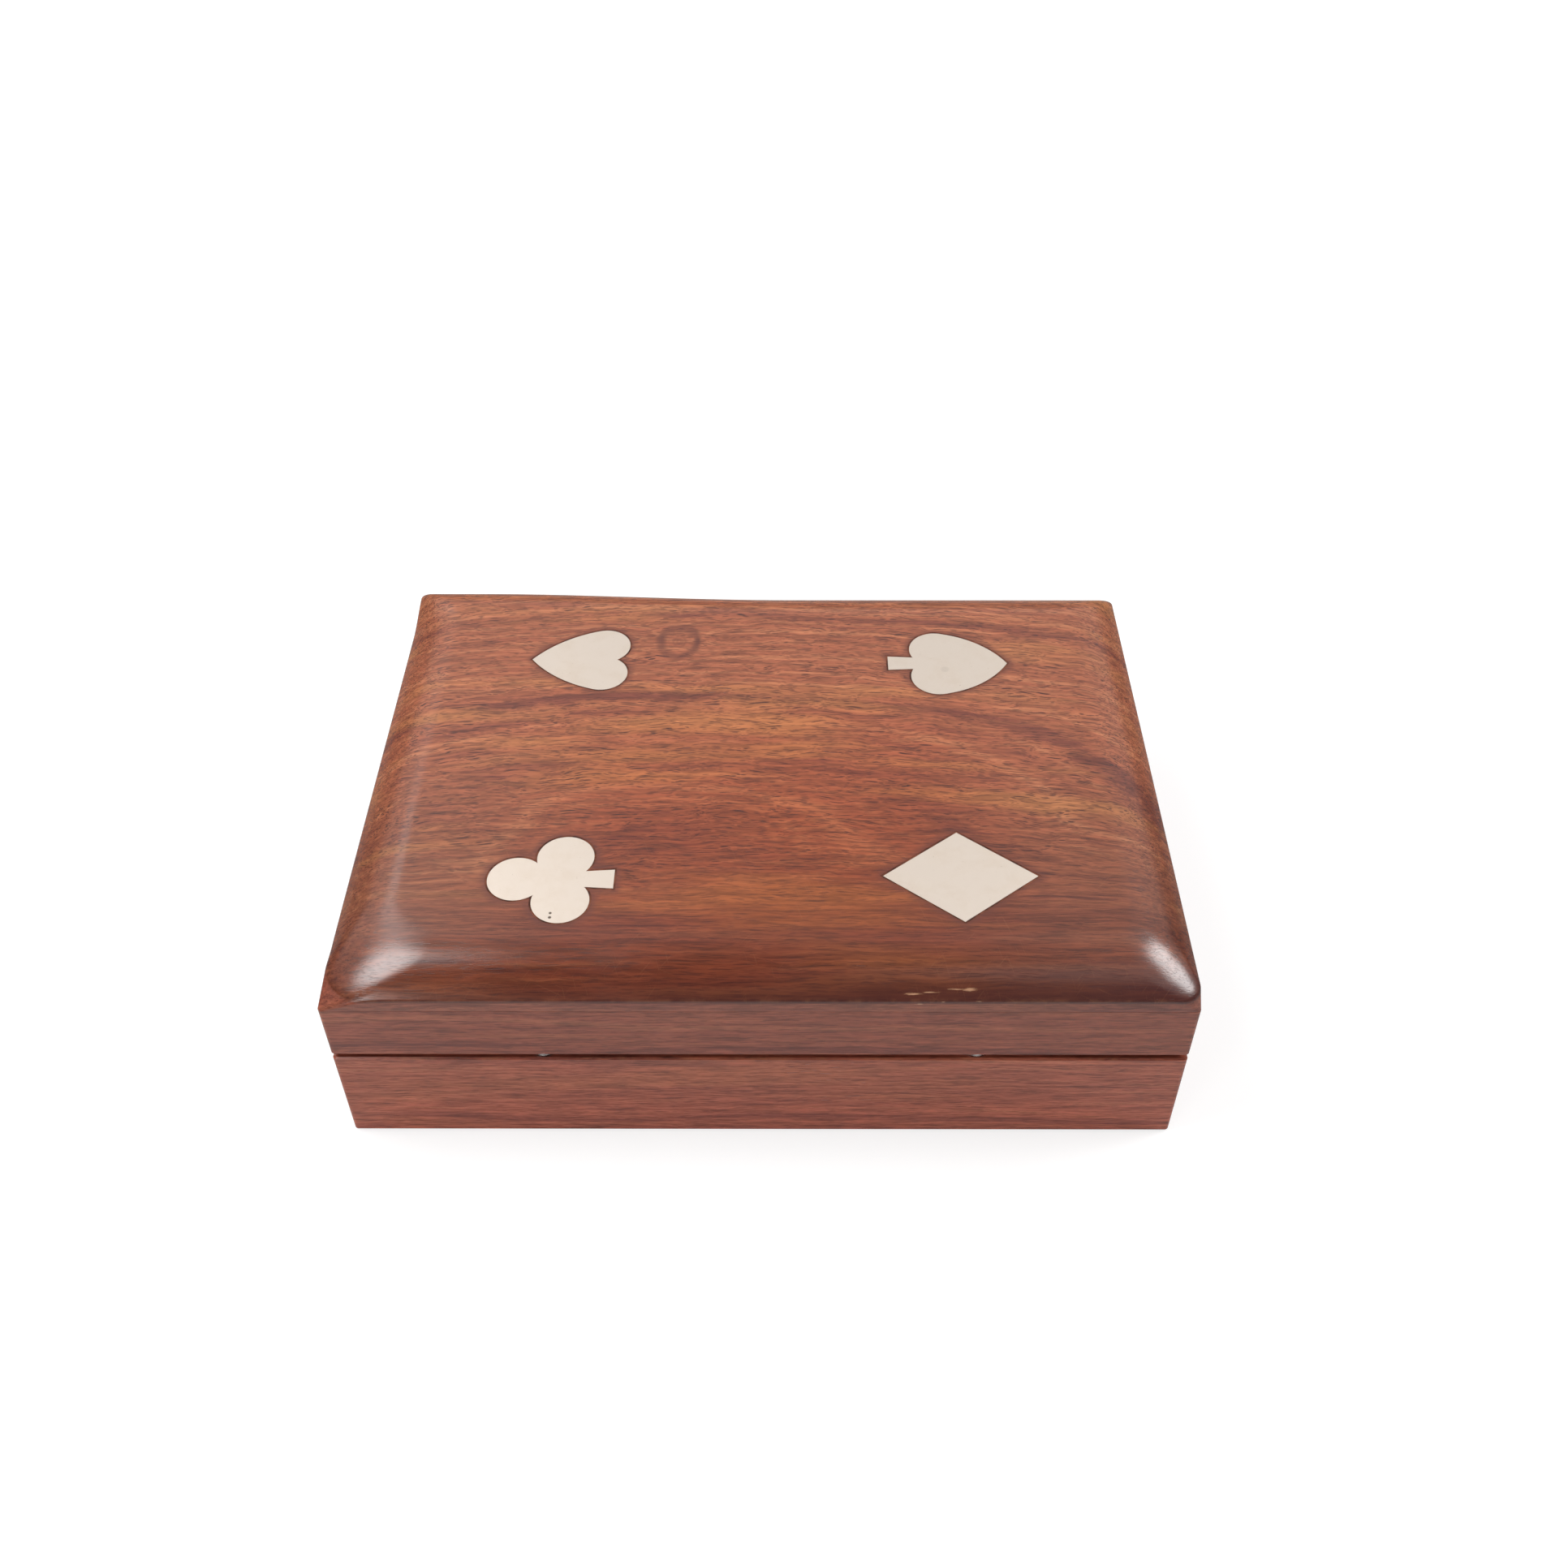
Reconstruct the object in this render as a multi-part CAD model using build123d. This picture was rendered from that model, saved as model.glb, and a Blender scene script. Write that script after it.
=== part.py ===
from build123d import *
import os
from math import cos, radians, sin, tan

# A hinged wooden box for two decks of playing cards, with the four card suits let into its lid in brass.
# Millimetres. The origin is the middle of the underside, the front faces -Y and +Z is up.

# Outer sizes of the closed box
box_width = 150.0
box_depth = 110.0
base_height = 21.8
seam_gap = 1.0
lid_wall_height = 12.2

# Wall boards and their lapped corners
wall = 7.0
lap_tongue = 3.5
corner_round = 0.8
foot_ease = 0.4
rim_ease = 0.35

# Crowned top board
board_edge = 2.0
crown_rise = 6.0
crown_reach = 12.5
crown_bulge = 1.45
board_corner_round = 1.2

# Bottom panel, divider and linings
panel_thickness = 3.0
panel_rebate = 3.5
divider_thickness = 5.0
divider_height = 16.0
divider_housing = 2.5
notch_width = 30.0
notch_depth = 9.0
lining_thickness = 1.2
lining_play = 0.2

# Brass suits: outline sizes, thickness, and the width of the dark bedding round them
inlay_thickness = 1.2
bedding_width = 0.35
bedding_sink = 0.05
heart_length = 19.6
heart_lobe = 5.1
heart_lobe_offset = 4.3
heart_bulge = 1.25
spade_length = 19.6
spade_lobe = 5.4
spade_lobe_offset = 4.2
spade_bulge = 1.6
spade_stem = 4.5
spade_stem_neck = 3.0
spade_stem_foot = 4.2
club_lobe = 5.1
club_lobe_pitch = 10.4
club_lobe_advance = 8.3
club_stem = 9.0
club_stem_neck = 3.2
club_stem_foot = 4.5
diamond_length = 27.4
diamond_width = 21.4
lobe_start_angle = 110.0

# Where each suit sits, measured in from the edges of its own corner of the lid:
# the tips of the heart and spade, the leading lobe of the club and the middle of the diamond
heart_inset_x = 27.9
heart_inset_y = 26.2
spade_inset_x = 25.8
spade_inset_y = 27.3
club_inset_x = 31.9
club_inset_y = 23.2
diamond_inset_x = 39.6
diamond_inset_y = 24.0

# Magnets in the front rims
magnet_radius = 3.0
magnet_thickness = 2.0
magnet_inset = 37.0
magnet_setback = 0.5
magnet_touch_gap = 0.1
magnet_play = 0.05

# Butt hinges at the back, and the bevels that stop the lid
hinge_length = 25.0
hinge_inset = 33.0
knuckle_radius = 1.6
knuckle_play = 0.15
pin_radius = 0.75
pin_play = 0.05
leaf_thickness = 0.8
leaf_reach = 5.0
leaf_gap = 0.2
gain_play = 0.1
stop_angle = 102.0
bevel_overrun = 3.0

# Countersunk hinge screws
screw_length = 7.0
screw_radius = 0.8
screw_head_radius = 1.5
screw_head_height = 0.8
screw_pitch = 14.0
screw_from_axis = 3.1
screw_play = 0.04
screw_slot_width = 0.4
screw_slot_depth = 0.35

# Heights and places that follow from the sizes above
half_width = box_width / 2
half_depth = box_depth / 2
end_reach = half_depth - lap_tongue
lid_bottom = base_height + seam_gap
board_bottom = lid_bottom + lid_wall_height
arris = board_bottom + board_edge
top = arris + crown_rise
inner_half_width = half_width - wall
inner_half_depth = half_depth - wall
divider_top = panel_thickness + divider_height
hinge_y = half_depth - knuckle_radius
hinge_z = base_height + seam_gap / 2
magnet_y = -(half_depth - magnet_setback - magnet_radius)
magnet_proud = (seam_gap - magnet_touch_gap) / 2


def block(x_limits, y_limits, z_limits):
    """A square-edged block between limits given in either order."""
    limits = [sorted(pair) for pair in (x_limits, y_limits, z_limits)]
    middle = [(low + high) / 2 for low, high in limits]
    size = [high - low for low, high in limits]
    return Pos(*middle) * Box(*size)


def rod(radius, x_limits, y, z):
    """A cylinder along X."""
    low, high = x_limits
    return Pos((low + high) / 2, y, z) * Rot(0, 90, 0) * Cylinder(radius, high - low)


def post(radius, x, y, z_limits):
    """A cylinder along Z."""
    low, high = sorted(z_limits)
    return Pos(x, y, (low + high) / 2) * Cylinder(radius, high - low)


# Wall boards


def end_blank(side, z_limits):
    """The square blank of a left (-1) or right (+1) wall, which ends against the long walls' tongues."""
    return block((side * inner_half_width, side * half_width), (-end_reach, end_reach), z_limits)


def face_at(part, z):
    """The flat face of a wall blank at height z."""
    return min(part.faces().filter_by(Axis.Z), key=lambda face: abs(face.center().Z - z))


def end_wall(side, z_limits, eases):
    """A left or right wall. eases gives the bevel of its outer edge at each height."""
    part = end_blank(side, z_limits)
    for z, ease in eases.items():
        outer = max(face_at(part, z).edges(), key=lambda edge: side * edge.center().X)
        part = chamfer(outer, ease)
    return part


def long_wall(side, z_limits, eases):
    """A front (-1) or back (+1) wall, full width outside, rebated at both ends to take the end walls."""
    part = block((-half_width, half_width), (side * inner_half_depth, side * half_depth), z_limits)
    uprights = part.edges().filter_by(Axis.Z).sort_by(lambda edge: side * edge.center().Y)
    part = fillet(uprights[-2:], corner_round)
    for z, ease in eases.items():
        rim = face_at(part, z).edges().sort_by(lambda edge: side * edge.center().Y)
        part = chamfer(rim[1:], ease)
    for end in (-1, 1):
        part -= end_blank(end, z_limits)
    return part


def stop_bevel(up):
    """The wedge planed off the back edge of a rim: up is +1 on the lid and -1 on the base."""
    reach = knuckle_radius + bevel_overrun
    drop = up * reach * tan(radians(stop_angle / 2))
    wedge = Plane.YZ * Polyline(
        (hinge_y, hinge_z),
        (hinge_y + reach, hinge_z),
        (hinge_y + reach, hinge_z + drop),
        close=True,
    )
    return extrude(make_face(wedge), half_width + bevel_overrun, both=True)


# Hinges


def hinge_x(side):
    """Middle of the left (-1) or right (+1) hinge."""
    return side * (half_width - hinge_inset)


def leaf_limits(up):
    """Heights of a leaf's plate, seam side first."""
    seam_side = hinge_z + up * leaf_gap / 2
    return seam_side, seam_side + up * leaf_thickness


def knuckle_spans(side, up):
    """X limits of a leaf's own knuckles: the lid's leaf has the middle one, the base's the two outer ones."""
    middle = hinge_x(side)
    third = hinge_length / 6
    if up > 0:
        return [(middle - third + knuckle_play / 2, middle + third - knuckle_play / 2)]
    ends = hinge_length / 2
    return [
        (middle - ends, middle - third - knuckle_play / 2),
        (middle + third + knuckle_play / 2, middle + ends),
    ]


def screw_places(side):
    """Places of the two screws of one leaf."""
    return [(hinge_x(side) + end * screw_pitch / 2, hinge_y - screw_from_axis) for end in (-1, 1)]


def screw_body(x, y, up, play):
    """A countersunk screw, or with play its clearance: its head is flush with the leaf's seam side."""
    seam_side = leaf_limits(up)[0]
    profile = Polyline(
        (0, 0),
        (screw_head_radius + play, 0),
        (screw_radius + play, screw_head_height),
        (screw_radius + play, screw_length + play),
        (0, screw_length + play),
        close=True,
    )
    turned = revolve(Plane.XZ * make_face(profile), Axis.Z)
    flip = Rot(0, 0, 0) if up > 0 else Rot(180, 0, 0)
    return Pos(x, y, seam_side) * flip * turned


def hinge_screw(x, y, up):
    """One slotted screw."""
    seam_side = leaf_limits(up)[0]
    slot = block(
        (x - screw_head_radius, x + screw_head_radius),
        (y - screw_slot_width / 2, y + screw_slot_width / 2),
        (seam_side, seam_side + up * screw_slot_depth),
    )
    return screw_body(x, y, up, 0) - slot


def hinge_leaf(side, up):
    """One brass leaf: its plate, cut back round the other leaf's knuckles, and its own bored knuckles."""
    middle = hinge_x(side)
    whole = (middle - hinge_length / 2, middle + hinge_length / 2)
    part = block(whole, (hinge_y - leaf_reach, hinge_y), leaf_limits(up))
    for low, high in knuckle_spans(side, -up):
        grown = (low - knuckle_play, high + knuckle_play)
        part -= block(grown, (hinge_y - knuckle_radius - knuckle_play, hinge_y), leaf_limits(up))
    for span in knuckle_spans(side, up):
        part += rod(knuckle_radius, span, hinge_y, hinge_z)
    part -= rod(pin_radius + pin_play, whole, hinge_y, hinge_z)
    for x, y in screw_places(side):
        part -= screw_body(x, y, up, screw_play)
    return part


def hinge_pin(side):
    """The pin that the knuckles turn on."""
    middle = hinge_x(side)
    return rod(pin_radius, (middle - hinge_length / 2, middle + hinge_length / 2), hinge_y, hinge_z)


def hinge_gain(side, up):
    """Wood cut away for one hinge: the leaf's bed, the round bed of the knuckles and the screw holes."""
    middle = hinge_x(side)
    reach = hinge_length / 2 + gain_play
    whole = (middle - reach, middle + reach)
    bed = leaf_limits(up)[1]
    cut = block(whole, (hinge_y - leaf_reach - gain_play, half_depth), (bed, hinge_z))
    cut += rod(knuckle_radius + gain_play, whole, hinge_y, hinge_z)
    for x, y in screw_places(side):
        cut += screw_body(x, y, up, screw_play)
    return cut


# Magnets


def magnet_limits(up):
    """Heights of a magnet: it stands a little proud of its rim."""
    rim = lid_bottom if up > 0 else base_height
    proud_face = rim - up * magnet_proud
    return proud_face, proud_face + up * magnet_thickness


def magnets(up, play=0.0):
    """The two disc magnets of a front rim, or with play the holes for them."""
    places = (magnet_inset - half_width, half_width - magnet_inset)
    return [post(magnet_radius + play, x, magnet_y, magnet_limits(up)) for x in places]


# Base


def bottom_panel():
    """The plywood bottom, flush with the underside in a rebate of all four walls."""
    reach_x = inner_half_width + panel_rebate
    reach_y = inner_half_depth + panel_rebate
    return block((-reach_x, reach_x), (-reach_y, reach_y), (0, panel_thickness))


def deck_divider():
    """The partition between the decks, housed in the front and back walls, with a finger notch."""
    reach = inner_half_depth + divider_housing
    part = block(
        (-divider_thickness / 2, divider_thickness / 2), (-reach, reach), (panel_thickness, divider_top)
    )
    notch_radius = (notch_width**2 / 4 + notch_depth**2) / (2 * notch_depth)
    notch_z = divider_top - notch_depth + notch_radius
    return part - rod(notch_radius, (-divider_thickness, divider_thickness), 0, notch_z)


def divider_housings():
    """The stopped grooves that take the divider's ends."""
    reach = inner_half_depth + divider_housing
    return block(
        (-divider_thickness / 2, divider_thickness / 2), (-reach, reach), (panel_thickness, divider_top)
    )


def floor_lining(side):
    """The velvet-covered card on the floor of one deck's compartment."""
    return block(
        (side * (divider_thickness / 2 + lining_play), side * (inner_half_width - lining_play)),
        (-inner_half_depth + lining_play, inner_half_depth - lining_play),
        (panel_thickness, panel_thickness + lining_thickness),
    )


def base_pieces():
    """Every piece that stays with the base."""
    z_limits = (0, base_height)
    eases = {0: foot_ease, base_height: rim_ease}
    panel = bottom_panel()
    front = long_wall(-1, z_limits, eases) - panel - divider_housings()
    for hole in magnets(-1, magnet_play):
        front -= hole
    back = long_wall(1, z_limits, {0: foot_ease}) - panel - divider_housings() - stop_bevel(-1)
    for side in (-1, 1):
        back -= hinge_gain(side, -1)
    return {
        "base_front_wall": front,
        "base_back_wall": back,
        "base_left_wall": end_wall(-1, z_limits, eases) - panel,
        "base_right_wall": end_wall(1, z_limits, eases) - panel,
        "bottom_panel": panel,
        "deck_divider": deck_divider(),
        "left_floor_lining": floor_lining(-1),
        "right_floor_lining": floor_lining(1),
        "base_magnets": magnets(-1),
        "left_hinge_base_leaf": hinge_leaf(-1, -1),
        "right_hinge_base_leaf": hinge_leaf(1, -1),
        "left_hinge_pin": hinge_pin(-1),
        "right_hinge_pin": hinge_pin(1),
        "base_hinge_screws": [hinge_screw(x, y, -1) for side in (-1, 1) for x, y in screw_places(side)],
    }


# Suit outlines, each lying along X


def lobed_outline(length, lobe, lobe_offset, bulge):
    """A heart's outline with its tip at the origin, pointing along -X."""
    lobe_x = length - lobe
    start = radians(lobe_start_angle)
    shoulder = (lobe_x + lobe * cos(start), lobe_offset + lobe * sin(start))
    cleft = (lobe_x + (lobe**2 - lobe_offset**2) ** 0.5, 0)
    crest = (lobe_x + lobe, lobe_offset)
    side = SagittaArc((0, 0), shoulder, bulge)
    curl = ThreePointArc(shoulder, crest, cleft)
    half = make_face([side, curl, Line(cleft, (0, 0))])
    return half + mirror(half, Plane.XZ)


def stem(start, end, neck, foot):
    """A stem along X that flares from its neck to its foot."""
    return make_face(
        Polyline((start, -neck / 2), (end, -foot / 2), (end, foot / 2), (start, neck / 2), close=True)
    )


def heart_outline():
    place = Pos(heart_inset_x - half_width, half_depth - heart_inset_y)
    return place * lobed_outline(heart_length, heart_lobe, heart_lobe_offset, heart_bulge)


def spade_outline():
    place = Pos(half_width - spade_inset_x, half_depth - spade_inset_y)
    leaf = lobed_outline(spade_length, spade_lobe, spade_lobe_offset, spade_bulge)
    foot_x = spade_length + spade_stem
    leaf += stem(spade_length - spade_lobe, foot_x, spade_stem_neck, spade_stem_foot)
    return place * Rot(0, 0, 180) * leaf


def club_outline():
    place = Pos(club_inset_x - half_width, club_inset_y - half_depth)
    rear = [(club_lobe_advance, -club_lobe_pitch / 2), (club_lobe_advance, club_lobe_pitch / 2)]
    trefoil = make_face(Polyline((0, 0), *rear, close=True))
    for x, y in [(0, 0), *rear]:
        trefoil += Pos(x, y) * Circle(club_lobe)
    foot_x = club_lobe_advance + club_stem
    trefoil += stem(club_lobe_advance, foot_x, club_stem_neck, club_stem_foot)
    return place * trefoil


def diamond_outline():
    place = Pos(half_width - diamond_inset_x, diamond_inset_y - half_depth)
    reach_x = diamond_length / 2
    reach_y = diamond_width / 2
    return place * make_face(
        Polyline((-reach_x, 0), (0, -reach_y), (reach_x, 0), (0, reach_y), close=True)
    )


def plate(outline, depth, surface):
    """An outline taken down from a surface by a depth."""
    return extrude(Pos(0, 0, surface - depth) * outline, depth)


# Lid


def crown_profile(half_span):
    """The board's section across one span: a straight edge, an arc from the arris and a flat top."""
    flat = half_span - crown_reach
    sides = [
        SagittaArc((side * flat, top), (side * half_span, arris), side * crown_bulge) for side in (-1, 1)
    ]
    crest = Line((-flat, top), (flat, top))
    foot = Polyline(
        (-half_span, arris),
        (-half_span, board_bottom),
        (half_span, board_bottom),
        (half_span, arris),
    )
    return make_face([*sides, crest, foot])


def top_board_blank():
    """The lid's board: two crowned sections crossed, so that their arcs meet in hips at the corners."""
    across = extrude(Plane.XZ * crown_profile(half_width), box_depth, both=True)
    along = extrude(Plane.YZ * crown_profile(half_depth), box_width, both=True)
    part = across & along
    return fillet(part.edges().filter_by(Axis.Z), board_corner_round)


def lid_lining():
    """The velvet-covered card under the top board."""
    return block(
        (-inner_half_width + lining_play, inner_half_width - lining_play),
        (-inner_half_depth + lining_play, inner_half_depth - lining_play),
        (board_bottom - lining_thickness, board_bottom),
    )


def lid_pieces():
    """Every piece that moves with the lid."""
    z_limits = (lid_bottom, board_bottom)
    eases = {lid_bottom: rim_ease}
    front = long_wall(-1, z_limits, eases)
    for hole in magnets(1, magnet_play):
        front -= hole
    back = long_wall(1, z_limits, {}) - stop_bevel(1)
    for side in (-1, 1):
        back -= hinge_gain(side, 1)
    board = top_board_blank()
    suits = {
        "heart_inlay": heart_outline(),
        "spade_inlay": spade_outline(),
        "club_inlay": club_outline(),
        "diamond_inlay": diamond_outline(),
    }
    inlays = {}
    bedding = []
    for name, outline in suits.items():
        pocket = offset(outline, bedding_width, kind=Kind.INTERSECTION)
        board -= plate(pocket, inlay_thickness, top)
        inlays[name] = plate(outline, inlay_thickness, top)
        bedding.append(plate(pocket - outline, inlay_thickness - bedding_sink, top - bedding_sink))
    return {
        "lid_front_wall": front,
        "lid_back_wall": back,
        "lid_left_wall": end_wall(-1, z_limits, eases),
        "lid_right_wall": end_wall(1, z_limits, eases),
        "lid_top_board": board,
        **inlays,
        "inlay_bedding": bedding,
        "lid_lining": lid_lining(),
        "lid_magnets": magnets(1),
        "left_hinge_lid_leaf": hinge_leaf(-1, 1),
        "right_hinge_lid_leaf": hinge_leaf(1, 1),
        "lid_hinge_screws": [hinge_screw(x, y, 1) for side in (-1, 1) for x, y in screw_places(side)],
    }


def write(name, piece):
    """Writes one named piece, or a group of like pieces, as a STEP file."""
    if isinstance(piece, list):
        piece = Compound(children=[solid for one in piece for solid in one.solids()])
    export_step(piece, os.path.join("parts", name + ".step"))


os.makedirs("parts", exist_ok=True)
for name, piece in {**base_pieces(), **lid_pieces()}.items():
    write(name, piece)
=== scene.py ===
import math

import bmesh
import bpy
import numpy as np
from mathutils import Matrix, Vector, geometry, kdtree, noise


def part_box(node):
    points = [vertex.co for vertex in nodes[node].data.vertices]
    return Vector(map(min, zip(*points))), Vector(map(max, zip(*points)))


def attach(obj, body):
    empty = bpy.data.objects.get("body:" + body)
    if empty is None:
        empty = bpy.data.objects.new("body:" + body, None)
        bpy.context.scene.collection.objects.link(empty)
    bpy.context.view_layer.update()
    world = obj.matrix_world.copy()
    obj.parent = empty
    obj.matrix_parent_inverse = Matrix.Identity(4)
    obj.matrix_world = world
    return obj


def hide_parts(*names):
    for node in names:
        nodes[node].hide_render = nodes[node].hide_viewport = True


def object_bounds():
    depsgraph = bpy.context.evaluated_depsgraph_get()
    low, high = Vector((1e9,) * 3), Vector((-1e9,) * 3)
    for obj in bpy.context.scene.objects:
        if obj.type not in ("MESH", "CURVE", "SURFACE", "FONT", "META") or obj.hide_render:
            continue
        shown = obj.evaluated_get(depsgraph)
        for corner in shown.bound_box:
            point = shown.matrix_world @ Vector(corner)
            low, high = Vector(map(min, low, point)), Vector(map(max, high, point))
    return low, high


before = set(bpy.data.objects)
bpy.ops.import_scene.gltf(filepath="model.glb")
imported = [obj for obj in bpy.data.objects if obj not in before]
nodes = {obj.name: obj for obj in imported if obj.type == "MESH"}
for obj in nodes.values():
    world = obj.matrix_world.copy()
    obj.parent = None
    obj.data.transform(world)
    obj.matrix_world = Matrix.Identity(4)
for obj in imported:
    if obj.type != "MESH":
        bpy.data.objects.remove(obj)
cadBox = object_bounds()
scene = bpy.context.scene
mm = 0.001
print("card box: frame loaded,", len(nodes), "nodes")


# node helpers

def feed(tree, socket, value):
    if isinstance(value, bpy.types.NodeSocket):
        tree.links.new(value, socket)
    elif socket.type == "RGBA" and len(value) == 3:
        socket.default_value = (*value, 1.0)
    else:
        socket.default_value = value


def put(tree, kind, feeds=None, **settings):
    node = tree.nodes.new(kind)
    node.location = (180 * len(tree.nodes), 0)
    for name, value in settings.items():
        setattr(node, name, value)
    for name, value in (feeds or {}).items():
        feed(tree, node.inputs[name], value)
    return node


def calc(tree, how, *values):
    node = put(tree, "ShaderNodeMath", operation=how)
    for socket, value in zip(node.inputs, values):
        feed(tree, socket, value)
    return node.outputs[0]


def calcVector(tree, how, *values):
    node = put(tree, "ShaderNodeVectorMath", operation=how)
    for socket, value in zip(node.inputs, values):
        feed(tree, socket, value)
    return node.outputs["Value" if how in ("LENGTH", "DISTANCE", "DOT_PRODUCT") else "Vector"]


def total(tree, *values):
    result = values[0]
    for value in values[1:]:
        result = calc(tree, "ADD", result, value)
    return result


def product(tree, *values):
    result = values[0]
    for value in values[1:]:
        result = calc(tree, "MULTIPLY", result, value)
    return result


def split(tree, vector):
    return put(tree, "ShaderNodeSeparateXYZ", {0: vector}).outputs


def smooth(tree, value, low, high, start=0.0, end=1.0):
    feeds = {"Value": value, "From Min": low, "From Max": high, "To Min": start, "To Max": end}
    return put(tree, "ShaderNodeMapRange", feeds, interpolation_type="SMOOTHSTEP").outputs["Result"]


def mixTone(tree, share, under, over, how="MIX"):
    node = put(tree, "ShaderNodeMix", data_type="RGBA", blend_type=how)
    for slot, value in ((0, share), (6, under), (7, over)):
        feed(tree, node.inputs[slot], value)
    return node.outputs[2]


def cloud(tree, place, stretch, detail=2.0, rough=0.5, output="Fac"):  # noise, stretch in cycles per mm
    spread = calcVector(tree, "MULTIPLY", place, stretch)
    feeds = {"Vector": spread, "Scale": 1.0, "Detail": detail, "Roughness": rough}
    return put(tree, "ShaderNodeTexNoise", feeds).outputs[output]


def tubes(tree, place, stretch, reach):  # thin spindles scattered through the wood, 1 at their cores
    spread = calcVector(tree, "MULTIPLY", place, stretch)
    far = put(tree, "ShaderNodeTexVoronoi", {"Vector": spread, "Scale": 1.0}).outputs["Distance"]
    return smooth(tree, far, reach, figure["vesselCore"] * reach)


def bands(tree, value, perMm, detail, rough):  # noise along one measure only
    feeds = {"W": product(tree, value, perMm), "Scale": 1.0, "Detail": detail, "Roughness": rough}
    return put(tree, "ShaderNodeTexNoise", feeds, noise_dimensions="1D").outputs["Fac"]


def levels(tree, value, stops):  # grey ramp from (place, level) pairs
    node = put(tree, "ShaderNodeValToRGB", {"Fac": value})
    node.color_ramp.interpolation = "EASE"
    marks = node.color_ramp.elements
    for position, _ in stops[1:-1]:
        marks.new(position)
    for mark, (position, level) in zip(marks, stops):
        mark.position = position
        mark.color = (level, level, level, 1.0)
    return node.outputs["Color"]


def newGroup(name, ins, outs):
    tree = bpy.data.node_groups.new(name, "ShaderNodeTree")
    for label, kind, value in ins:
        socket = tree.interface.new_socket(name=label, in_out="INPUT", socket_type="NodeSocket" + kind)
        if value is not None:
            socket.default_value = value
    for label, kind in outs:
        tree.interface.new_socket(name=label, in_out="OUTPUT", socket_type="NodeSocket" + kind)
    return tree, put(tree, "NodeGroupInput").outputs, put(tree, "NodeGroupOutput").inputs


def useGroup(tree, group, feeds):
    return put(tree, "ShaderNodeGroup", feeds, node_tree=group).outputs


def newMaterial(name, **values):
    material = bpy.data.materials.new(name)
    material.use_nodes = True
    tree = material.node_tree
    tree.nodes.clear()
    shader = put(tree, "ShaderNodeBsdfPrincipled")
    put(tree, "ShaderNodeOutputMaterial", {"Surface": shader.outputs[0]})
    for name, value in values.items():
        shader.inputs[name].default_value = value
    return material, tree, shader.inputs


def spotOf(tree, turn=0.0, shift=(0.0, 0.0, 0.0)):  # place on the object in mm, turned and shifted
    spot = put(tree, "ShaderNodeTexCoord").outputs["Object"]
    feeds = {"Vector": spot, "Location": shift, "Rotation": (0.0, 0.0, turn), "Scale": (1 / mm,) * 3}
    return put(tree, "ShaderNodeMapping", feeds).outputs[0]


def roughen(tree, shader, height, strength, depth):  # bump of that depth in mm
    feeds = {"Height": height, "Strength": strength, "Distance": depth * mm}
    feed(tree, shader["Normal"], put(tree, "ShaderNodeBump", feeds).outputs[0])


# shared effects

figure = dict(
    sway=(0.013, 0.035, 0.035), swayReach=(0.0, 11.0, 11.0),  # slow bend of the growth rings
    waver=(0.075, 0.16, 0.16), waverReach=(0.0, 3.4, 3.4), waverAhead=0.4,  # quick bend of the fibres
    archFrom=(-28.0, 4.0),  # fibres and rings lie straight in front of this and arch behind it
    broadPitch=0.085, narrowPitch=0.40,
    broadShare=0.8, narrowShare=0.7, streakShare=1.1, bandShare=0.60,
    streak=(0.018, 0.90, 0.90), darkTo=(0.12, 0.5), lightFrom=(0.5, 0.92),
    golden=(0.012, 0.11, 0.11), goldenFrom=(0.50, 0.70, 0.0, 0.75),
    fibre=(0.10, 1.7, 1.7), fibreShade=(0.25, 0.75, 0.66, 1.36), fibreRelief=0.3,
    longVessel=(0.15, 2.7, 2.7), shortVessel=(0.36, 3.7, 3.7), vesselReach=0.36, vesselCore=0.55,
    shortShare=0.7,
    patch=(0.035, 0.30, 0.30), patchFrom=(0.30, 0.62, 0.30, 1.0),
)


def makeRings():
    ins = [("Place", "Vector", None), ("Loop", "Float", 0.05), ("Bow", "Float", 0.0), ("Lift", "Float", 0.0)]
    ins += [("Waver", "Float", 1.0)]
    tree, given, result = newGroup("growthRings", ins, [("Ring", "Float"), ("Flow", "Vector")])
    half = (0.5, 0.5, 0.5)
    slow = calcVector(tree, "SUBTRACT", cloud(tree, given["Place"], figure["sway"], output="Color"), half)
    bent = calcVector(tree, "MULTIPLY_ADD", slow, figure["swayReach"], given["Place"])
    at = split(tree, bent)
    along = product(tree, at["X"], given["Loop"], smooth(tree, at["Y"], *figure["archFrom"]))
    away = put(tree, "ShaderNodeCombineXYZ", {0: along, 1: at["Y"], 2: at["Z"]}).outputs[0]
    feed(tree, result["Ring"], calc(tree, "ADD", calcVector(tree, "LENGTH", away), given["Lift"]))
    at = split(tree, given["Place"])
    arch = product(tree, at["X"], at["X"], given["Bow"], smooth(tree, at["Y"], *figure["archFrom"]))
    run = put(tree, "ShaderNodeCombineXYZ", {0: at["X"], 1: calc(tree, "ADD", at["Y"], arch), 2: at["Z"]})
    fast = calcVector(tree, "SUBTRACT", cloud(tree, given["Place"], figure["waver"], output="Color"), half)
    quick = smooth(tree, at["Y"], *figure["archFrom"], figure["waverAhead"], 1.0)
    fast = calcVector(tree, "MULTIPLY", fast, product(tree, quick, given["Waver"]))
    feed(tree, result["Flow"], calcVector(tree, "MULTIPLY_ADD", fast, figure["waverReach"], run.outputs[0]))
    return tree


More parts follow.
